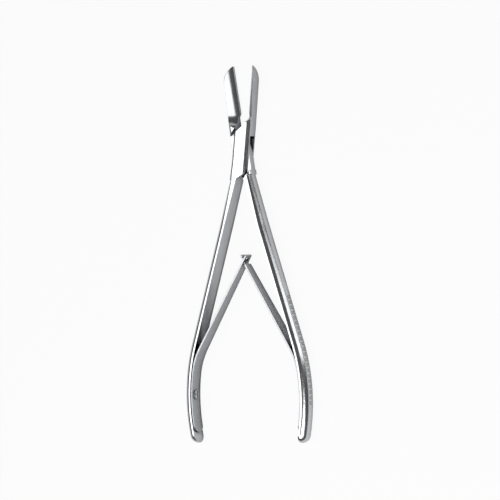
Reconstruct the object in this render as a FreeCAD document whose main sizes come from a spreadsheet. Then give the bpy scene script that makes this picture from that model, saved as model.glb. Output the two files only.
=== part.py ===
import FreeCAD, Part
import Sketcher
import os

# Bone cutting forceps with a box joint and two leaf springs, all in millimetres.
# The instrument lies on its back: +Y runs along the closed blades, +X is to the right
# and +Z is the front. The origin is on the pivot axis, on the back of the joint.
# Each half is drawn as it stands when the blades are shut, and its placement then turns
# it about the pivot to the sprung-open pose.

os.makedirs("parts", exist_ok=True)
doc = FreeCAD.newDocument("bone_cutting_forceps")
sheet = doc.addObject("Spreadsheet::Sheet", "Sizes")

SIZES = [
    # Joint: a tongue between the two walls of a slotted box
    ("joint_depth", 6.4),
    ("joint_width", 8.8),
    ("tongue_thickness", 3.2),
    ("tongue_clearance", 0.05),
    ("tongue_radius", 9.0),
    ("corner_clearance", 0.12),
    ("shoulder_reach", 8.9),
    ("shoulder_angle", 41.7),
    ("shoulder_gap", 0.15),
    ("front_edge_round", 2.2),
    ("back_edge_round", 1.4),
    ("pin_diameter", 4.0),
    ("pin_clearance", 0.04),
    ("half_opening", 7.45),
    ("flank_straight", 4.0),
    # Jaws: wedge blades, hollow ground at the front, edges at the back
    ("jaw_length", 39.6),
    ("jaw_relief", 1.0),
    ("relief_end", 16.4),
    ("edge_start", 18.0),
    ("edge_gap", 0.02),
    ("jaw_flank_start", 12.5),
    ("jaw_knee_length", 32.3),
    ("jaw_knee_width", 4.0),
    ("jaw_tip_width", 0.5),
    ("jaw_tip_round", 9.0),
    ("front_taper_start", 14.0),
    ("front_knee_length", 33.1),
    ("front_knee_height", 2.0),
    ("front_tip_height", 1.55),
    ("front_tip_round", 9.5),
    ("back_taper_start", 18.0),
    ("back_tip_rise", 0.75),
    ("hollow_radius", 10.0),
    ("hollow_start", 14.2),
    ("hollow_runout", 3.5),
    ("tongue_hollow_start", 10.8),
    ("tongue_hollow_runout", 6.8),
    ("hollow_side", 4.4),
    ("hollow_height", 6.45),
    ("hollow_tilt", 1.8),
    # Handles: flat inside, round outside, straight and then bowed inwards
    ("crotch_gap", 0.15),
    ("handle_start", 10.0),
    ("handle_splay", 10.4),
    ("handle_straight", 80.0),
    ("bow_radius", 80.0),
    ("bow_angle", 29.5),
    ("handle_depth", 7.4),
    ("handle_thickness", 3.7),
    ("handle_side", 0.8),
    ("root_length", 24.0),
    ("root_thickness", 4.2),
    ("root_side", 2.2),
    ("root_overlap", 2.4),
    ("tongue_root_overlap", 0.3),
    # Grip notches across the back of each handle
    ("notch_radius", 0.95),
    ("notch_depth", 0.5),
    ("notch_pitch", 2.45),
    ("notch_count_straight", 9),
    ("notch_count_bow", 12),
    # Leaf springs, each screwed to the inside of its handle
    ("leaf_thickness", 0.8),
    ("leaf_foot_width", 6.6),
    ("leaf_tip_width", 4.4),
    ("leaf_foot_start", -18.9),
    ("leaf_foot_round", 3.4),
    ("leaf_bend_start", 0.5),
    ("leaf_bend_radius", 30.0),
    ("leaf_lean", 24.4),
    ("leaf_straight", 49.4),
    ("leaf_cross", 3.1),
    ("hook_neck_width", 1.5),
    ("hook_neck_length", 3.6),
    ("hook_head_width", 3.2),
    ("leaf_hole_clearance", 0.1),
    ("window_clearance", 0.25),
    ("window_length", 3.4),
    # Spring screws
    ("screw_angle", -6.0),
    ("screw_diameter", 2.2),
    ("screw_depth", 2.4),
    ("screw_head_diameter", 4.2),
    ("screw_head_rim", 0.35),
    ("screw_head_height", 0.9),
    ("screw_slot_width", 0.6),
    ("screw_slot_depth", 0.45),
    # How far a cutting outline runs past the metal that it cuts
    ("overrun", 1.0),
]
for row, (alias, number) in enumerate(SIZES, start=1):
    sheet.set(f"A{row}", alias)
    sheet.set(f"B{row}", str(number))
    sheet.setAlias(f"B{row}", alias)
doc.recompute()


def size(name):
    return float(sheet.get(name))


def formula(text):
    """Points each size's name in a formula at its cell in the sheet."""
    for alias in sorted((alias for alias, number in SIZES), key=len, reverse=True):
        text = text.replace(f"<{alias}>", f"Sizes.{alias}")
    return text


def reckon(text):
    return float(sheet.evalExpression(formula(text)))


def origin_plane(body, role):
    for plane in body.Origin.OriginFeatures:
        if plane.Role == role:
            return plane
    raise ValueError(role)


def new_sketch(body, name, role="XY_Plane"):
    sketch = body.newObject("Sketcher::SketchObject", name)
    sketch.AttachmentSupport = [(origin_plane(body, role), "")]
    sketch.MapMode = "FlatFace"
    return sketch


def offset_sketch(sketch, base, angle="0", axis=(0, 0, 1)):
    """Moves a sketch in its plane's own axes and turns it about one of them."""
    values = [reckon(text) for text in base]
    turn = FreeCAD.Rotation(FreeCAD.Vector(*axis), reckon(angle))
    sketch.AttachmentOffset = FreeCAD.Placement(FreeCAD.Vector(*values), turn)
    for letter, text in zip("xyz", base):
        sketch.setExpression(f"AttachmentOffset.Base.{letter}", formula(text))
    sketch.setExpression("AttachmentOffset.Rotation.Angle", formula(angle))


def pin_point(sketch, geometry, end, x, y):
    """Ties one end of a line or arc to its place, measured from the sketch's origin."""
    for kind, text, axis in (("DistanceX", x, -2), ("DistanceY", y, -1)):
        if text == "0":
            sketch.addConstraint(Sketcher.Constraint("PointOnObject", geometry, end, axis))
        else:
            datum = Sketcher.Constraint(kind, -1, 1, geometry, end, reckon(text))
            index = sketch.addConstraint(datum)
            sketch.setExpression(f"Constraints[{index}]", formula(text))


def closed_outline(sketch, corners):
    """Draws a closed outline. A corner is (x, y), or (x, y, radius) where the stretch
    that leads on from it is an arc: a positive radius bulges to the right of travel."""
    places = [FreeCAD.Vector(reckon(corner[0]), reckon(corner[1]), 0) for corner in corners]
    pieces = []
    for index, corner in enumerate(corners):
        start = places[index]
        end = places[(index + 1) % len(places)]
        if len(corner) == 3:
            radius = reckon(corner[2])
            chord = end - start
            right = FreeCAD.Vector(chord.y, -chord.x, 0).normalize()
            reach = abs(radius)
            sagitta = reach - (reach ** 2 - (chord.Length / 2) ** 2) ** 0.5
            middle = (start + end) / 2 + right * (sagitta if radius > 0 else -sagitta)
            if radius > 0:
                number = sketch.addGeometry(Part.Arc(start, middle, end), False)
                pieces.append((number, 1, 2))
            else:
                number = sketch.addGeometry(Part.Arc(end, middle, start), False)
                pieces.append((number, 2, 1))
        else:
            number = sketch.addGeometry(Part.LineSegment(start, end), False)
            pieces.append((number, 1, 2))
    for index, (number, first, last) in enumerate(pieces):
        following, following_first, _ = pieces[(index + 1) % len(pieces)]
        joint = Sketcher.Constraint("Coincident", number, last, following, following_first)
        sketch.addConstraint(joint)
    for (number, first, last), corner in zip(pieces, corners):
        pin_point(sketch, number, first, corner[0], corner[1])
        if len(corner) == 3:
            radius = corner[2].lstrip("-")
            bound = Sketcher.Constraint("Radius", number, reckon(radius))
            index = sketch.addConstraint(bound)
            sketch.setExpression(f"Constraints[{index}]", formula(radius))


def circle(sketch, x, y, radius):
    centre = FreeCAD.Vector(reckon(x), reckon(y), 0)
    curve = Part.Circle(centre, FreeCAD.Vector(0, 0, 1), reckon(radius))
    number = sketch.addGeometry(curve, False)
    pin_point(sketch, number, 3, x, y)
    index = sketch.addConstraint(Sketcher.Constraint("Radius", number, reckon(radius)))
    sketch.setExpression(f"Constraints[{index}]", formula(radius))


def feature(body, kind, name, sketch, **settings):
    item = body.newObject(f"PartDesign::{kind}", name)
    item.Profile = sketch
    for key, value in settings.items():
        if isinstance(value, str) and "<" in value:
            item.setExpression(key, formula(value))
        else:
            setattr(item, key, value)
    body.Tip = item
    return item


def pad(body, name, sketch, length):
    return feature(body, "Pad", name, sketch, SideType="Symmetric", Length=length)


def cut(body, name, sketch, length):
    """Cuts a pocket as far to each side of its sketch as the other."""
    return feature(body, "Pocket", name, sketch, SideType="Symmetric", Length=length)


def spin(body, kind, name, sketch, angle=360.0, midplane=False):
    axis = (sketch, ["H_Axis"])
    return feature(body, kind, name, sketch, ReferenceAxis=axis, Angle=angle, Midplane=midplane)


def new_half_body(name, turn):
    """A body drawn in the shut pose and turned about the pivot to the open one."""
    body = doc.addObject("PartDesign::Body", name)
    body.Label = name
    middle = FreeCAD.Vector(0, 0, size("joint_depth") / 2)
    axis = FreeCAD.Vector(0, 0, turn)
    body.Placement = FreeCAD.Placement(middle, FreeCAD.Rotation(axis, size("half_opening")))
    body.setExpression("Placement.Base.z", formula("<joint_depth> / 2"))
    body.setExpression("Placement.Rotation.Angle", formula("<half_opening>"))
    return body


# The shoulder is a straight slant across the joint, a set distance from the pivot.
SLANT = "(<shoulder_reach> + {gap} + ({x}) * sin(<shoulder_angle> * 1deg)) / cos(<shoulder_angle> * 1deg)"
HALF_WIDTH = "<joint_width> / 2"
INNER_SLOPE = "tan(<handle_splay> * 1deg)"


def shoulder_height(x, gap="0"):
    return SLANT.format(x=x, gap=gap)


def mirrored(side, text):
    return text if side > 0 else f"-({text})"


def jaw_outline(side):
    """The blade from the top of its relief round the tip and down to the joint."""
    places = [
        ("<jaw_relief>", "<relief_end>"),
        ("<edge_gap>", "<edge_start>"),
        ("<edge_gap>", "<jaw_length>"),
        ("<jaw_tip_width>", "<jaw_length>", "-<jaw_tip_round>"),
        ("<jaw_knee_width>", "<jaw_knee_length>"),
        (HALF_WIDTH, "<jaw_flank_start>"),
    ]
    corners = []
    for place in places:
        corner = (mirrored(side, place[0]), place[1])
        if len(place) == 3:
            corner += (place[2] if side > 0 else place[2].lstrip("-"),)
        corners.append(corner)
    return corners


# The handle's inner face leaves the joint beside the centre line and splays outwards.
CROTCH_REACH = "<handle_start> + <root_overlap>"
INNER_FACE = "<crotch_gap> + (({y}) - <handle_start>) * " + INNER_SLOPE


# Where the lower shoulder meets the inner face of its own handle
SLANT_SIN = "sin(<shoulder_angle> * 1deg)"
SLANT_COS = "cos(<shoulder_angle> * 1deg)"
CROTCH_X = (
    f"((<shoulder_reach> - <handle_start> * {SLANT_COS}) * {INNER_SLOPE} + <crotch_gap> * {SLANT_COS})"
    f" / ({SLANT_COS} + {SLANT_SIN} * {INNER_SLOPE})"
)
CROTCH_Y = f"-((<shoulder_reach> - ({CROTCH_X}) * {SLANT_SIN}) / {SLANT_COS})"


def build_blade(body, side, start, runout):
    """Shapes the padded blade in side view and hollow-grinds its front."""
    half_depth = "<joint_depth> / 2"
    front = new_sketch(body, "front_profile", "YZ_Plane")
    closed_outline(front, [
        ("<front_taper_start>", half_depth),
        ("<front_taper_start>", f"{half_depth} + <overrun>"),
        ("<jaw_length> + <overrun>", f"{half_depth} + <overrun>"),
        ("<jaw_length> + <overrun>", "-<front_tip_height>"),
        ("<jaw_length>", "-<front_tip_height>", "<front_tip_round>"),
        ("<front_knee_length>", "<front_knee_height>"),
    ])
    cut(body, "front_taper", front, "<joint_width> * 3")
    back = new_sketch(body, "back_profile", "YZ_Plane")
    closed_outline(back, [
        ("<back_taper_start>", f"-({half_depth})"),
        ("<jaw_length> + <overrun>", f"-({half_depth}) + <back_tip_rise>"),
        ("<jaw_length> + <overrun>", f"-({half_depth}) - <overrun>"),
        ("<back_taper_start>", f"-({half_depth}) - <overrun>"),
    ])
    cut(body, "back_taper", back, "<joint_width> * 3")
    wheel = new_sketch(body, "hollow_wheel", "YZ_Plane")
    place = (start, "<hollow_height>", mirrored(side, "-<hollow_side>"))
    offset_sketch(wheel, place, "<hollow_tilt>")
    closed_outline(wheel, [
        ("0", "0"),
        ("0", f"<hollow_radius> - {runout}", "-" + runout),
        (runout, "<hollow_radius>"),
        (f"<jaw_length> - {start} + <overrun>", "<hollow_radius>"),
        (f"<jaw_length> - {start} + <overrun>", "0"),
    ])
    spin(body, "Groove", "hollow_grind", wheel)


def bow_centre(away):
    """The centre of the bow in the handle's inner face."""
    run = "<handle_straight>"
    across = (
        f"<crotch_gap> + {run} * sin(<handle_splay> * 1deg)"
        " - <bow_radius> * cos(<handle_splay> * 1deg)"
    )
    along = (
        f"-<handle_start> - {run} * cos(<handle_splay> * 1deg)"
        " - <bow_radius> * sin(<handle_splay> * 1deg)"
    )
    return mirrored(away, across), along, "0"


def grip_section(sketch, away, depth, thickness, flank):
    """A section flat on the inside, with short flanks and a round back."""
    rise = f"({thickness} - {flank})"
    radius = f"(pow({depth} / 2; 2) + pow({rise}; 2)) / (2 * {rise})"
    closed_outline(sketch, [
        ("0", f"-({depth} / 2)"),
        (mirrored(away, flank), f"-({depth} / 2)", radius if away > 0 else "-" + radius),
        (mirrored(away, flank), f"{depth} / 2"),
        ("0", f"{depth} / 2"),
    ])


def section_sketch(body, name, away, run):
    """A sketch square to the straight of the handle, a given run from its start."""
    sketch = new_sketch(body, name, "XZ_Plane")
    across = f"<crotch_gap> + ({run}) * sin(<handle_splay> * 1deg)"
    along = f"<handle_start> + ({run}) * cos(<handle_splay> * 1deg)"
    turn = mirrored(away, "<handle_splay>")
    offset_sketch(sketch, (mirrored(away, across), "0", along), turn, (0, 1, 0))
    return sketch


def build_handle(body, away):
    """The handle on one side: a root that grows into the grip section, a straight
    stretch, a bow inwards, a rounded end, a tapped hole and the grip notches."""
    root = section_sketch(body, "root_section", away, "0")
    grip_section(root, away, "<joint_depth>", "<root_thickness>", "<root_side>")
    grip = section_sketch(body, "grip_section", away, "<root_length>")
    grip_section(grip, away, "<handle_depth>", "<handle_thickness>", "<handle_side>")
    feature(body, "AdditiveLoft", "handle_root", root, Sections=[grip])

    spine = new_sketch(body, "handle_spine")
    start = (mirrored(away, "<crotch_gap>"), "-<handle_start>", "0")
    offset_sketch(spine, start, mirrored(away, "<handle_splay>"))
    top = FreeCAD.Vector(0, -size("root_length"), 0)
    low = FreeCAD.Vector(0, -size("handle_straight"), 0)
    line = spine.addGeometry(Part.LineSegment(top, low), False)
    pin_point(spine, line, 1, "0", "-<root_length>")
    pin_point(spine, line, 2, "0", "-<handle_straight>")
    end_x = mirrored(away, "-<bow_radius> * (1 - cos(<bow_angle> * 1deg))")
    end_y = "-<handle_straight> - <bow_radius> * sin(<bow_angle> * 1deg)"
    mid_x = mirrored(away, "-<bow_radius> * (1 - cos(<bow_angle> / 2 * 1deg))")
    mid_y = "-<handle_straight> - <bow_radius> * sin(<bow_angle> / 2 * 1deg)"
    middle = FreeCAD.Vector(reckon(mid_x), reckon(mid_y), 0)
    end = FreeCAD.Vector(reckon(end_x), reckon(end_y), 0)
    ends = (end, middle, low) if away > 0 else (low, middle, end)
    arc = spine.addGeometry(Part.Arc(*ends), False)
    near, far = (2, 1) if away > 0 else (1, 2)
    spine.addConstraint(Sketcher.Constraint("Coincident", line, 2, arc, near))
    pin_point(spine, arc, far, end_x, end_y)
    bound = spine.addConstraint(Sketcher.Constraint("Radius", arc, size("bow_radius")))
    spine.setExpression(f"Constraints[{bound}]", formula("<bow_radius>"))
    doc.recompute()
    feature(body, "AdditivePipe", "handle_grip", grip, Spine=(spine, ["Edge1", "Edge2"]))

    end_cap = new_sketch(body, "end_section")
    offset_sketch(end_cap, bow_centre(away), mirrored(away, "<handle_splay> - <bow_angle>"))
    rise = "(<handle_thickness> - <handle_side>)"
    crown = f"(pow(<handle_depth> / 2; 2) + pow({rise}; 2)) / (2 * {rise})"
    closed_outline(end_cap, [
        (mirrored(away, "<bow_radius>"), "0"),
        (mirrored(away, "<bow_radius>"), "-(<handle_depth> / 2)"),
        (mirrored(away, "<bow_radius> + <handle_side>"), "-(<handle_depth> / 2)",
         crown if away > 0 else "-" + crown),
        (mirrored(away, "<bow_radius> + <handle_thickness>"), "0"),
    ])
    spin(body, "Revolution", "handle_end", end_cap, 180.0, True)

    tapped = new_sketch(body, "tapped_hole")
    offset_sketch(tapped, bow_centre(away), mirrored(away, "<screw_angle>"))
    closed_outline(tapped, [
        (mirrored(away, "<bow_radius> - <overrun>"), "0"),
        (mirrored(away, "<bow_radius> - <overrun>"), "<screw_diameter> / 2"),
        (mirrored(away, "<bow_radius> + <screw_depth>"), "<screw_diameter> / 2"),
        (mirrored(away, "<bow_radius> + <screw_depth>"), "0"),
    ])
    spin(body, "Groove", "tapped_bore", tapped)


def build_notches(body, away):
    """Round notches across the crown of the handle, first along its straight, then
    round its bow."""
    crown = "<handle_thickness> + <notch_radius> - <notch_depth>"
    straight = new_sketch(body, "notch_straight")
    start = (mirrored(away, "<crotch_gap>"), "-<handle_start>", "0")
    offset_sketch(straight, start, mirrored(away, "<handle_splay>"))
    circle(straight, mirrored(away, crown), "-(<handle_straight> - <notch_pitch> / 2)", "<notch_radius>")
    first = cut(body, "first_notch_straight", straight, "<handle_depth> * 2")
    row = body.newObject("PartDesign::LinearPattern", "notches_straight")
    row.Originals = [first]
    row.Direction = (straight, ["V_Axis"])
    row.Mode = "Spacing"
    row.setExpression("Offset", formula("<notch_pitch>"))
    row.setExpression("Occurrences", formula("<notch_count_straight>"))
    body.Tip = row
    doc.recompute()
    bow = new_sketch(body, "notch_bow")
    step = "<notch_pitch> / (<bow_radius> + <handle_thickness>) * 180 / pi"
    offset_sketch(bow, bow_centre(away), mirrored(away, f"<handle_splay> - {step} / 2"))
    circle(bow, mirrored(away, f"<bow_radius> + {crown}"), "0", "<notch_radius>")
    first = cut(body, "first_notch_bow", bow, "<handle_depth> * 2")
    turn = body.newObject("PartDesign::PolarPattern", "notches_bow")
    turn.Originals = [first]
    turn.Axis = (bow, ["N_Axis"])
    turn.Reversed = away > 0
    turn.Mode = "Spacing"
    turn.setExpression("Offset", formula(step))
    turn.setExpression("Occurrences", formula("<notch_count_bow>"))
    body.Tip = turn
    doc.recompute()


def round_long_edges(body):
    """Rounds the long edges of the blank's flanks, more at the front than at the back."""
    inner = size("jaw_knee_width") - 0.01
    for side, name in ((1, "front"), (-1, "back")):
        blank = body.Tip
        face = side * size("joint_depth") / 2
        names = []
        for index, edge in enumerate(blank.Shape.Edges, start=1):
            ends = [vertex.Point for vertex in edge.Vertexes]
            flat = all(abs(point.z - face) < 1e-4 for point in ends)
            outside = all(abs(point.x) > inner for point in ends)
            if flat and outside and ends[0].x * ends[-1].x > 0:
                names.append(f"Edge{index}")
        item = body.newObject("PartDesign::Fillet", f"{name}_rounding")
        item.Base = (blank, names)
        item.setExpression("Radius", formula(f"<{name}_edge_round>"))
        body.Tip = item
        doc.recompute()


# Box half: the right blade and the left handle, with a slot for the tongue
def build_box_half():
    body = new_half_body("box_half", -1)
    side = 1
    plan = new_sketch(body, "plan")
    corners = [("<jaw_relief>", shoulder_height("<jaw_relief>"))]
    corners += jaw_outline(side)
    corners += [
        (HALF_WIDTH, f"-({shoulder_height('-(' + HALF_WIDTH + ')')})"),
        (f"-({CROTCH_X})", CROTCH_Y),
    ]
    inner_low = INNER_FACE.format(y=CROTCH_REACH)
    corners += [
        (f"-({inner_low})", f"-({CROTCH_REACH})"),
        (f"-({inner_low} + <root_thickness>)", f"-({CROTCH_REACH})"),
        (f"-({HALF_WIDTH})", "-<flank_straight>"),
        (f"-({HALF_WIDTH})", shoulder_height(f"-({HALF_WIDTH})")),
    ]
    closed_outline(plan, corners)
    pad(body, "blank", plan, "<joint_depth>")
    doc.recompute()
    round_long_edges(body)
    build_blade(body, side, "<hollow_start>", "<hollow_runout>")
    build_handle(body, -side)
    slot = new_sketch(body, "slot_plan")
    reach = "<tongue_radius> + <corner_clearance>"
    clear = f"2 * ({reach})"
    closed_outline(slot, [
        ("0", clear),
        ("0", reach, f"-({reach})"),
        (reach, "0"),
        (reach, f"-({clear})"),
        ("0", f"-({clear})"),
        ("0", f"-({reach})", f"-({reach})"),
        (f"-({reach})", "0"),
        (f"-({reach})", clear),
    ])
    cut(body, "slot", slot, "<tongue_thickness> + 2 * <tongue_clearance>")
    bore = new_sketch(body, "pin_bore_plan")
    circle(bore, "0", "0", "<pin_diameter> / 2")
    cut(body, "pin_bore", bore, "<joint_depth> * 2")
    build_notches(body, -side)
    return body


# Tongue half: the left blade and the right handle, milled away at both cheeks so that
# a tongue is left between the two slanting shoulders
def build_tongue_half():
    body = new_half_body("tongue_half", 1)
    side = -1
    corner_top = f"sqrt(pow(<tongue_radius>; 2) - pow({HALF_WIDTH}; 2))"
    plan = new_sketch(body, "plan")
    corners = [("-<jaw_relief>", "sqrt(pow(<tongue_radius>; 2) - pow(<jaw_relief>; 2))")]
    corners += jaw_outline(side)
    corners += [
        (f"-({HALF_WIDTH})", f"-({corner_top})", "<tongue_radius>"),
        ("<crotch_gap>", "-sqrt(pow(<tongue_radius>; 2) - pow(<crotch_gap>; 2))"),
    ]
    root_reach = "<handle_start> + <tongue_root_overlap>"
    inner_low = INNER_FACE.format(y=root_reach)
    corners += [
        (inner_low, f"-({root_reach})"),
        (f"{inner_low} + <root_thickness>", f"-({root_reach})"),
        (HALF_WIDTH, "-<flank_straight>"),
        (HALF_WIDTH, corner_top, "<tongue_radius>"),
    ]
    closed_outline(plan, corners)
    pad(body, "blank", plan, "<joint_depth>")
    doc.recompute()
    round_long_edges(body)
    build_blade(body, side, "<tongue_hollow_start>", "<tongue_hollow_runout>")
    build_handle(body, -side)
    reach = "<shoulder_reach> + <shoulder_gap>"
    for face, name in ((1, "front"), (-1, "back")):
        cheek = new_sketch(body, f"{name}_cheek_plan")
        sign = "" if face > 0 else "-"
        height = f"{sign}(<joint_depth> + <tongue_thickness>) / 2"
        offset_sketch(cheek, ("0", "0", height), "<shoulder_angle>")
        closed_outline(cheek, [
            ("<joint_width> * 2", reach),
            ("-<joint_width> * 2", reach),
            ("-<joint_width> * 2", f"-({reach})"),
            ("<joint_width> * 2", f"-({reach})"),
        ])
        cut(body, f"{name}_cheek", cheek, "<joint_depth>")
    bore = new_sketch(body, "pin_bore_plan")
    circle(bore, "0", "0", "<pin_diameter> / 2 + <pin_clearance>")
    cut(body, "pin_bore", bore, "<joint_depth> * 2")
    build_notches(body, -side)
    return body


# Joint pin: a plain rivet, ground flush with both walls of the box
def build_joint_pin():
    body = doc.addObject("PartDesign::Body", "joint_pin")
    body.Label = "joint_pin"
    plan = new_sketch(body, "pin_plan")
    circle(plan, "0", "0", "<pin_diameter> / 2")
    feature(body, "Pad", "pin_shank", plan, Length="<joint_depth>")
    return body


def width_at_neck():
    """Half the tapered leaf's width where the hook's neck begins."""
    run = "(<leaf_cross> + <hook_neck_length> / 2) / <leaf_straight>"
    return f"(<leaf_tip_width> + (<leaf_foot_width> - <leaf_tip_width>) * {run}) / 2"


def leaf_face(body, name, away):
    """A sketch flat on the leaf's straight, with its origin at the tip."""
    across, along, _ = bow_centre(1)
    hub = "(<bow_radius> - <leaf_thickness> / 2 - <leaf_bend_radius>)"
    start = "(<leaf_bend_start> * 1deg)"
    lean = "(<leaf_lean> * 1deg)"
    tip_x = (
        f"{across} + {hub} * cos({start}) + <leaf_bend_radius> * cos({lean})"
        f" - <leaf_straight> * sin({lean})"
    )
    tip_y = (
        f"{along} + {hub} * sin({start}) + <leaf_bend_radius> * sin({lean})"
        f" + <leaf_straight> * cos({lean})"
    )
    sketch = new_sketch(body, name, "YZ_Plane")
    offset_sketch(sketch, (tip_y, "0", mirrored(away, tip_x)), mirrored(away, "<leaf_lean>"), (0, 1, 0))
    return sketch


def build_leaf(name, turn, hooked):
    """A leaf spring: a foot that follows the bow of the handle, a bend, and a straight
    that leans in to cross the other leaf. One tip is a hook, the other has a window."""
    away = turn
    body = new_half_body(name, turn)
    strip = new_sketch(body, "strip_profile")
    start = "<leaf_bend_start>"
    offset_sketch(strip, bow_centre(away), mirrored(away, start))
    outer = "<bow_radius>"
    inner = "(<bow_radius> - <leaf_thickness>)"
    foot = "((<leaf_foot_start> - <leaf_bend_start>) * 1deg)"
    bend = "((<leaf_lean> - <leaf_bend_start>) * 1deg)"
    hub = "(<bow_radius> - <leaf_thickness> / 2 - <leaf_bend_radius>)"
    wide = "(<leaf_bend_radius> + <leaf_thickness> / 2)"
    tight = "(<leaf_bend_radius> - <leaf_thickness> / 2)"

    def arc(radius, forward):
        return radius if forward == (away > 0) else "-" + radius

    def bent(radius, run="0"):
        x = f"{hub} + {radius} * cos({bend}) - ({run}) * sin({bend})"
        y = f"{radius} * sin({bend}) + ({run}) * cos({bend})"
        return mirrored(away, x), y

    closed_outline(strip, [
        (mirrored(away, f"{outer} * cos({foot})"), f"{outer} * sin({foot})", arc(outer, True)),
        (mirrored(away, outer), "0", arc(wide, True)),
        bent(wide),
        bent(wide, "<leaf_straight>"),
        bent(tight, "<leaf_straight>"),
        (*bent(tight), arc(tight, False)),
        (mirrored(away, inner), "0", arc(inner, False)),
        (mirrored(away, f"{inner} * cos({foot})"), f"{inner} * sin({foot})"),
    ])
    pad(body, "strip", strip, "<leaf_foot_width>")

    over = "(<leaf_foot_width> / 2 + <overrun>)"
    tip = leaf_face(body, "tip_outline", away)
    neck_low = "-(<leaf_cross> + <hook_neck_length> / 2)"
    neck_high = "-(<leaf_cross> - <hook_neck_length> / 2)"
    for sign in ("", "-"):
        tip_edge = [("-<leaf_straight>", f"{sign}<leaf_foot_width> / 2")]
        if hooked:
            tip_edge += [
                (neck_low, f"{sign}{width_at_neck()}"),
                (neck_low, f"{sign}<hook_neck_width> / 2"),
                (neck_high, f"{sign}<hook_neck_width> / 2"),
                (neck_high, f"{sign}<hook_head_width> / 2"),
                ("<overrun>", f"{sign}<hook_head_width> / 2"),
            ]
        else:
            tip_edge += [("0", f"{sign}<leaf_tip_width> / 2"), ("<overrun>", f"{sign}<leaf_tip_width> / 2")]
        tip_edge += [("<overrun>", f"{sign}{over}"), ("-<leaf_straight>", f"{sign}{over}")]
        closed_outline(tip, tip_edge)
    if not hooked:
        reach = "<window_length> / 2"
        half = "(<hook_neck_width> / 2 + <window_clearance>)"
        closed_outline(tip, [
            (f"-<leaf_cross> - {reach}", f"-{half}"),
            (f"-<leaf_cross> + {reach}", f"-{half}"),
            (f"-<leaf_cross> + {reach}", half),
            (f"-<leaf_cross> - {reach}", half),
        ])
    cut(body, "tip_cut", tip, "<leaf_thickness> * 4")

    foot_end = new_sketch(body, "foot_outline", "YZ_Plane")
    across, along, _ = bow_centre(away)
    radius = "(<bow_radius> - <leaf_thickness> / 2)"
    foot_angle = "(<leaf_foot_start> * 1deg)"
    place = (
        f"{along} + {radius} * sin({foot_angle})",
        "0",
        f"{across} + {mirrored(away, f'{radius} * cos({foot_angle})')}",
    )
    offset_sketch(foot_end, place, mirrored(away, "<leaf_foot_start>"), (0, 1, 0))
    half = "<leaf_foot_width> / 2"
    closed_outline(foot_end, [
        (half, half, "<leaf_foot_round>"),
        (half, f"-({half})"),
        (half, f"-{over}"),
        ("-<overrun>", f"-{over}"),
        ("-<overrun>", over),
        (half, over),
    ])
    cut(body, "foot_cut", foot_end, "<leaf_thickness> * 4")

    hole = new_sketch(body, "screw_hole")
    offset_sketch(hole, bow_centre(away), mirrored(away, "<screw_angle>"))
    wall = "<screw_diameter> / 2 + <leaf_hole_clearance>"
    seat_wall = "<screw_head_diameter> / 2 + <leaf_hole_clearance>"
    seat = mirrored(away, "<bow_radius> - <leaf_thickness>")
    inward = mirrored(away, "<bow_radius> - <leaf_thickness> - <overrun>")
    outward = mirrored(away, "<bow_radius> + <overrun>")
    closed_outline(hole, [
        (inward, "0"),
        (inward, seat_wall),
        (seat, seat_wall),
        (seat, wall),
        (outward, wall),
        (outward, "0"),
    ])
    spin(body, "Groove", "screw_clearance", hole)
    return body


# Spring screws: slotted raised heads on the inner faces of the handles
def build_spring_screw(name, turn):
    away = turn
    body = new_half_body(name, turn)
    profile = new_sketch(body, "screw_profile")
    offset_sketch(profile, bow_centre(away), mirrored(away, "<screw_angle>"))
    seat = "(<bow_radius> - <leaf_thickness>)"
    closed_outline(profile, [
        (mirrored(away, f"{seat} - <screw_head_height>"), "0"),
        (mirrored(away, f"{seat} - <screw_head_height>"), "<screw_head_diameter> / 4"),
        (mirrored(away, f"{seat} - <screw_head_rim>"), "<screw_head_diameter> / 2"),
        (mirrored(away, seat), "<screw_head_diameter> / 2"),
        (mirrored(away, seat), "<screw_diameter> / 2"),
        (mirrored(away, "<bow_radius> + <screw_depth>"), "<screw_diameter> / 2"),
        (mirrored(away, "<bow_radius> + <screw_depth>"), "0"),
    ])
    spin(body, "Revolution", "screw_shape", profile)
    slot = new_sketch(body, "slot_profile")
    offset_sketch(slot, bow_centre(away), mirrored(away, "<screw_angle>"))
    crown = f"{seat} - <screw_head_height>"
    closed_outline(slot, [
        (mirrored(away, f"{crown} - <overrun>"), "-<screw_head_diameter>"),
        (mirrored(away, f"{crown} + <screw_slot_depth>"), "-<screw_head_diameter>"),
        (mirrored(away, f"{crown} + <screw_slot_depth>"), "<screw_head_diameter>"),
        (mirrored(away, f"{crown} - <overrun>"), "<screw_head_diameter>"),
    ])
    cut(body, "driver_slot", slot, "<screw_slot_width>")
    return body


build_box_half()
build_tongue_half()
build_joint_pin()
build_leaf("leaf_spring_left", -1, False)
build_leaf("leaf_spring_right", 1, True)
build_spring_screw("spring_screw_left", -1)
build_spring_screw("spring_screw_right", 1)
doc.recompute()
for item in doc.Objects:
    if "Invalid" in item.State or "Error" in item.State:
        raise RuntimeError(f"{item.Label} did not build: {item.State}")
bodies = doc.findObjects("PartDesign::Body")
for body in bodies:
    shape = body.Shape
    if shape.isNull() or not shape.isValid() or len(shape.Solids) != 1:
        raise RuntimeError(f"{body.Label} is not one sound solid")
    volume = round(shape.Volume, 1)
    print(f"{body.Label}: {volume} mm3, {shape.BoundBox}")
for body in bodies:
    body.Shape.exportStep(f"parts/{body.Label}.step")
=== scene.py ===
import math

import bpy
from mathutils import Matrix, Quaternion, Vector


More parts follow.
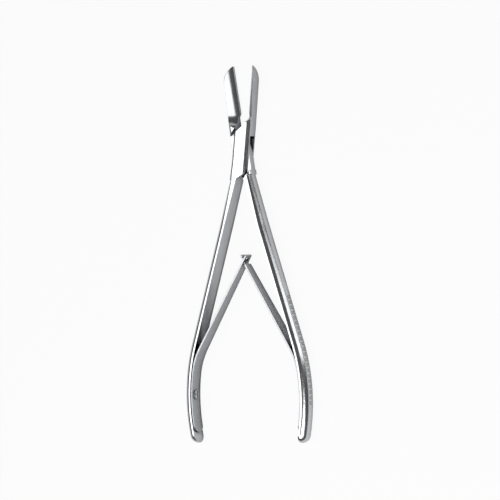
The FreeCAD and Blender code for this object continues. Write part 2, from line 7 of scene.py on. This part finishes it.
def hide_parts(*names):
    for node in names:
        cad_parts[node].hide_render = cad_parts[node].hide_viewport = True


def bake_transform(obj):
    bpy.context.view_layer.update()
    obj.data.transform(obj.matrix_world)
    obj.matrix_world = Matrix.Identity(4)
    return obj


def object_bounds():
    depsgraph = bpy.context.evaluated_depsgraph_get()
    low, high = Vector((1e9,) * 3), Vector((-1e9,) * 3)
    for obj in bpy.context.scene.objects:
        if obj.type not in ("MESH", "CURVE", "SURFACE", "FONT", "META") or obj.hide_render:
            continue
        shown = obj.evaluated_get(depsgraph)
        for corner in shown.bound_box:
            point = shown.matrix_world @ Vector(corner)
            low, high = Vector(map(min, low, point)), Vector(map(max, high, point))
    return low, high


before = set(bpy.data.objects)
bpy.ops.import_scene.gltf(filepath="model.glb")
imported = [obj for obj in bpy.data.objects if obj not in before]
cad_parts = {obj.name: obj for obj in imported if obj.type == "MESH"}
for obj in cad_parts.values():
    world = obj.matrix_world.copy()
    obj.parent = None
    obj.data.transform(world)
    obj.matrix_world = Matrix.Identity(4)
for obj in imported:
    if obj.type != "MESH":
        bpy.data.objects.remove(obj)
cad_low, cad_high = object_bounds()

# The table: a wide, flat sheet of matt white card that the forceps lies on. The camera
# sees it almost as pure white, with a trace of the soft shadow beside each handle. The
# steel mirrors it as plain card, in the light that really falls on it.
floor_half_side = 4.0
floor_height = cad_low.z
paper_white = (0.9, 0.9, 0.9, 1.0)
paper_roughness = 0.9
paper_gloss = 0.0
paper_glow = 0.93
pure_white = (1, 1, 1, 1)


def new_material(name):
    """A material with only its shader and output, and the node tree to build on."""
    material = bpy.data.materials.new(name)
    material.use_nodes = True
    tree = material.node_tree
    shader = tree.nodes["Principled BSDF"]
    return material, tree, shader


bpy.ops.object.select_all(action="DESELECT")
bpy.ops.mesh.primitive_plane_add(size=2 * floor_half_side, location=(0, 0, 0))
table_top = bpy.context.object
table_top.name = "table_top"
table_top.data.transform(Matrix.Translation((0, 0, floor_height)))
paper, tree, shader = new_material("white_card")
shader.inputs["Base Color"].default_value = paper_white
shader.inputs["Roughness"].default_value = paper_roughness
shader.inputs["Specular IOR Level"].default_value = paper_gloss
glow = tree.nodes.new("ShaderNodeEmission")
glow.inputs["Color"].default_value = pure_white
light_path = tree.nodes.new("ShaderNodeLightPath")
share = tree.nodes.new("ShaderNodeMath")
share.operation = "MULTIPLY"
share.inputs[1].default_value = paper_glow
tree.links.new(light_path.outputs["Is Camera Ray"], share.inputs[0])
mix = tree.nodes.new("ShaderNodeMixShader")
tree.links.new(share.outputs[0], mix.inputs[0])
tree.links.new(shader.outputs[0], mix.inputs[1])
tree.links.new(glow.outputs[0], mix.inputs[2])
tree.links.new(mix.outputs[0], tree.nodes["Material Output"].inputs["Surface"])
table_top.data.materials.append(paper)

# The studio: walls that give only a dim light, and that the camera sees as white. Three
# cloth-fronted soft boxes hang in it: a wide one above on the left, a small low one to
# the right of the blades, and one over the bowed end of the handles.
wall_level = 0.08
world = bpy.data.worlds.new("studio_walls")
bpy.context.scene.world = world
world.use_nodes = True
walls = world.node_tree
wall_light = walls.nodes["Background"]
wall_light.inputs["Color"].default_value = pure_white
wall_light.inputs["Strength"].default_value = wall_level
seen_walls = walls.nodes.new("ShaderNodeBackground")
seen_walls.inputs["Color"].default_value = pure_white
wall_rays = walls.nodes.new("ShaderNodeLightPath")
wall_mix = walls.nodes.new("ShaderNodeMixShader")
walls.links.new(wall_rays.outputs["Is Camera Ray"], wall_mix.inputs[0])
walls.links.new(wall_light.outputs[0], wall_mix.inputs[1])
walls.links.new(seen_walls.outputs[0], wall_mix.inputs[2])
walls.links.new(wall_mix.outputs[0], walls.nodes["World Output"].inputs["Surface"])


def soft_box(name, place, target, width, height, radiance):
    """A rectangular lamp whose face has the same brightness whatever its size."""
    lamp = bpy.data.lights.new(name, "AREA")
    lamp.shape = "RECTANGLE"
    lamp.size = width
    lamp.size_y = height
    lamp.energy = radiance * math.pi * width * height
    holder = bpy.data.objects.new(name, lamp)
    bpy.context.scene.collection.objects.link(holder)
    holder.location = place
    toward = Vector(target) - Vector(place)
    holder.rotation_mode = "QUATERNION"
    holder.rotation_quaternion = toward.to_track_quat("-Z", "Y")


bpy.context.scene.view_settings.view_transform = "Standard"
soft_box(
    "key_box", place=(-0.62, -0.05, 1.04), target=(0, -0.05, 0),
    width=0.8, height=1.1, radiance=2.0,
)
soft_box(
    "blade_box", place=(0.44, 0.11, 0.22), target=(0, 0.07, 0),
    width=0.13, height=0.34, radiance=1.7,
)
soft_box(
    "handle_box", place=(0.12, -0.29, 0.3), target=(0, -0.14, 0),
    width=0.4, height=0.2, radiance=2.6,
)

# The camera: a long lens two metres away, looking down on the front of the forceps from
# its right side. It is rolled a little, because the forceps lies slightly askew in the
# picture.
picture_side = 0.225
camera_distance = 2.0
camera_tilt = math.radians(34.0)
camera_roll = math.radians(1.5)
aim = Vector((0.0023, -0.0437, 0.0029))
sensor_side_mm = 36.0
nearest_seen = 0.01
lens = bpy.data.cameras.new("long_lens")
lens.sensor_width = sensor_side_mm
lens.lens = sensor_side_mm * camera_distance / picture_side
lens.clip_start = nearest_seen
camera = bpy.data.objects.new("long_lens", lens)
bpy.context.scene.collection.objects.link(camera)
bpy.context.scene.camera = camera
sight = Vector((math.sin(camera_tilt), 0, math.cos(camera_tilt)))
camera.location = aim + sight * camera_distance
camera.rotation_mode = "QUATERNION"
unrolled = Matrix((
    (math.cos(camera_tilt), 0, sight.x),
    (0, 1, 0),
    (-math.sin(camera_tilt), 0, sight.z),
)).to_quaternion()
camera.rotation_quaternion = unrolled @ Quaternion((0, 0, 1), -camera_roll)

# The two halves: drop-forged stainless steel, milled at the box joint, hollow ground at
# the blades and brought to an even satin finish. The tongue of one runs through the slot
# of the other. Painted shade darkens their colour in the notches, the shoulders and
# wherever they lie close to another surface.
satin_colour = (0.78, 0.79, 0.81, 1.0)
satin_roughness = (0.15, 0.24)
satin_scratch_pitch = 0.00022
satin_scratch_depth = 0.06
satin_edge = 0.0002
scratch_stretch = 40.0
scratch_detail = 3.0
patch_scale = 180.0
patch_detail = 4.0
scratch_share = 0.6
polish_range = (0.3, 0.7)
tone_range = (0.25, 0.75)
dull_tone = 0.88
# Painted shade: the base colour turns near black where ambient occlusion finds another
# surface close by, in notches, joints, between parts and beside the table.
painted_shade_reach = 0.0022
painted_shade_range = (0.45, 0.95)
painted_shade_colour = (0.05, 0.055, 0.06, 1)
ray_samples = 6


def steel(name, colour, roughness, grain_angle, grain_pitch, grain_depth, edge):
    """Ground steel: fine scratches along the piece, patchy polish, painted shade in the
    crevices and near other surfaces, and softened edges."""
    material, tree, shader = new_material(name)
    links = tree.links.new
    shader.inputs["Metallic"].default_value = 1.0
    place = tree.nodes.new("ShaderNodeTexCoord")

    turned = tree.nodes.new("ShaderNodeMapping")
    turned.inputs["Rotation"].default_value = (0, 0, grain_angle)
    across = 1 / grain_pitch
    turned.inputs["Scale"].default_value = (across, across / scratch_stretch, across)
    links(place.outputs["Object"], turned.inputs["Vector"])
    scratches = tree.nodes.new("ShaderNodeTexNoise")
    scratches.inputs["Scale"].default_value = 1.0
    scratches.inputs["Detail"].default_value = scratch_detail
    links(turned.outputs["Vector"], scratches.inputs["Vector"])
    patches = tree.nodes.new("ShaderNodeTexNoise")
    patches.inputs["Scale"].default_value = patch_scale
    patches.inputs["Detail"].default_value = patch_detail
    links(place.outputs["Object"], patches.inputs["Vector"])
    blend = tree.nodes.new("ShaderNodeMix")
    blend.inputs["Factor"].default_value = scratch_share
    links(patches.outputs["Fac"], blend.inputs["A"])
    links(scratches.outputs["Fac"], blend.inputs["B"])

    polish = tree.nodes.new("ShaderNodeMapRange")
    polish.inputs["From Min"].default_value = polish_range[0]
    polish.inputs["From Max"].default_value = polish_range[1]
    polish.inputs["To Min"].default_value = roughness[0]
    polish.inputs["To Max"].default_value = roughness[1]
    links(blend.outputs["Result"], polish.inputs["Value"])
    links(polish.outputs["Result"], shader.inputs["Roughness"])

    tone = tree.nodes.new("ShaderNodeValToRGB")
    dull, bright = tone.color_ramp.elements
    dull.position = tone_range[0]
    dull.color = tuple(dull_tone * part for part in colour[:3]) + (1,)
    bright.position = tone_range[1]
    bright.color = colour
    links(blend.outputs["Result"], tone.inputs["Fac"])
    # Painted shade: ambient occlusion darkens the base colour towards near black in
    # crevices, between parts and next to the table.
    painted_shade_probe = tree.nodes.new("ShaderNodeAmbientOcclusion")
    painted_shade_probe.samples = ray_samples
    painted_shade_probe.inputs["Distance"].default_value = painted_shade_reach
    unshaded_share = tree.nodes.new("ShaderNodeMapRange")
    unshaded_share.inputs["From Min"].default_value = painted_shade_range[0]
    unshaded_share.inputs["From Max"].default_value = painted_shade_range[1]
    links(painted_shade_probe.outputs["AO"], unshaded_share.inputs["Value"])
    painted_shade = tree.nodes.new("ShaderNodeMix")
    painted_shade.data_type = "RGBA"
    painted_shade.inputs["A"].default_value = painted_shade_colour
    links(unshaded_share.outputs["Result"], painted_shade.inputs["Factor"])
    links(tone.outputs["Color"], painted_shade.inputs["B"])
    links(painted_shade.outputs["Result"], shader.inputs["Base Color"])

    rounded = tree.nodes.new("ShaderNodeBevel")
    rounded.samples = ray_samples
    rounded.inputs["Radius"].default_value = edge
    relief = tree.nodes.new("ShaderNodeBump")
    relief.inputs["Strength"].default_value = grain_depth
    relief.inputs["Distance"].default_value = grain_pitch / 4
    links(scratches.outputs["Fac"], relief.inputs["Height"])
    links(rounded.outputs["Normal"], relief.inputs["Normal"])
    links(relief.outputs["Normal"], shader.inputs["Normal"])
    return material


def dress(node, material):
    """Puts the material on a node of the frame."""
    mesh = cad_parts[node].data
    mesh.materials.clear()
    mesh.materials.append(material)


satin = steel(
    "satin_steel", satin_colour, satin_roughness, grain_angle=0.0,
    grain_pitch=satin_scratch_pitch, grain_depth=satin_scratch_depth, edge=satin_edge,
)
dress("box_half", satin)
dress("tongue_half", satin)

# The joint pin: a rivet of the same steel that holds the tongue in the box. Both its
# ends are spread and then ground down flush with the cheeks.
pin_face = steel(
    "pin_steel", colour=(0.76, 0.77, 0.79, 1), roughness=(0.22, 0.32), grain_angle=0.5,
    grain_pitch=0.0002, grain_depth=0.1, edge=0.0001,
)
dress("joint_pin", pin_face)

# The leaf springs: strips of hardened spring steel, ground along their length. Each is
# screwed to its handle. Its tip hooks into the other's, so both bend from the place
# where they leave the handles when these are squeezed.
leaf_colour = (0.55, 0.56, 0.58, 1)
leaf_roughness = (0.26, 0.4)
leaf_scratch_pitch = 0.0003
leaf_scratch_depth = 0.25
leaf_seen_edge = 0.00005
leaf_grain_lean = math.radians(31.85)
leaf_edge = 0.00012
leaf_edge_segments = 2
leaf_step = 0.003
leaf_tip_y = -0.046
same_point = 1e-7
flat_angle = math.radians(0.5)
sharp_angle = math.radians(50)
smooth_angle = math.radians(35)


def leaf_piece(node, name, lean):
    """The leaf as a fine strip that can bend, copied from its solid in the frame."""
    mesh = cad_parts[node].data.copy()
    mesh.name = name
    leaf = bpy.data.objects.new(name, mesh)
    bpy.context.scene.collection.objects.link(leaf)
    bpy.ops.object.select_all(action="DESELECT")
    leaf.select_set(True)
    bpy.context.view_layer.objects.active = leaf
    bpy.ops.object.mode_set(mode="EDIT")
    bpy.ops.mesh.select_all(action="SELECT")
    bpy.ops.mesh.remove_doubles(threshold=same_point)
    bpy.ops.mesh.dissolve_limited(angle_limit=flat_angle)
    height = min(vertex.co.y for vertex in mesh.vertices) + leaf_step
    while height < leaf_tip_y:
        bpy.ops.mesh.select_all(action="SELECT")
        bpy.ops.mesh.bisect(plane_co=(0, height, 0), plane_no=(0, 1, 0))
        height += leaf_step
    bpy.ops.object.mode_set(mode="OBJECT")
    bevel = leaf.modifiers.new("edge", "BEVEL")
    bevel.width = leaf_edge
    bevel.segments = leaf_edge_segments
    bevel.limit_method = "ANGLE"
    bevel.angle_limit = sharp_angle
    bpy.ops.object.modifier_apply(modifier=bevel.name)
    bpy.ops.object.shade_smooth_by_angle(angle=smooth_angle)
    grain = steel(
        name + "_steel", leaf_colour, leaf_roughness, grain_angle=lean,
        grain_pitch=leaf_scratch_pitch, grain_depth=leaf_scratch_depth,
        edge=leaf_seen_edge,
    )
    leaf.data.materials.clear()
    leaf.data.materials.append(grain)
    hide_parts(node)
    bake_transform(leaf)


leaf_piece(
    "leaf_spring_left", "left_leaf", leaf_grain_lean,
)
leaf_piece(
    "leaf_spring_right", "right_leaf", -leaf_grain_lean,
)

# The spring screws: turned stainless screws with raised, slotted heads. Each holds the
# foot of one leaf to the inside of its handle.
screw_face = steel(
    "screw_steel", colour=(0.66, 0.67, 0.69, 1), roughness=(0.24, 0.34),
    grain_angle=0.2, grain_pitch=0.00018, grain_depth=0.1, edge=0.00008,
)
dress("spring_screw_left", screw_face)
dress("spring_screw_right", screw_face)
